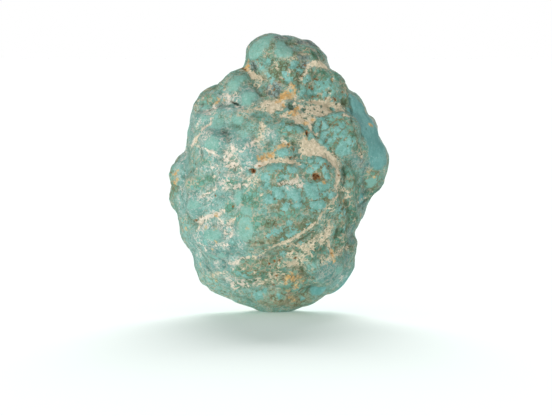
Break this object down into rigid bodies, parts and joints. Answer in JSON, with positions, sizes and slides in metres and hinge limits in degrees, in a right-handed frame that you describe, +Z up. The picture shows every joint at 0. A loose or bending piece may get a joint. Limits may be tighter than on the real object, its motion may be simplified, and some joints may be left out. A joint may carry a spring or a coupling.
{
  "type": "raw turquoise nugget",
  "caption": "Raw lumpy turquoise nugget with cream matrix veins, rust pits and a diagonal ledge, standing upright on a small worn flat.",
  "frame": {"origin": "on the surface that the nugget stands on, under the middle of its bounding box", "axes": "+Z up along the nugget's longest extent, -Y towards the side with the diagonal ledge, +X to the right when looking along +Y; the shortest extent lies along Y"},
  "size_m": [0.0442, 0.0338, 0.0558],
  "materials": {
    "turquoise": "raw, dull to waxy, mottled green-blue with cream and ochre matrix"
  },
  "bodies": {
    "root": {"turquoise_nugget": "turquoise"}
  },
  "joints": []
}
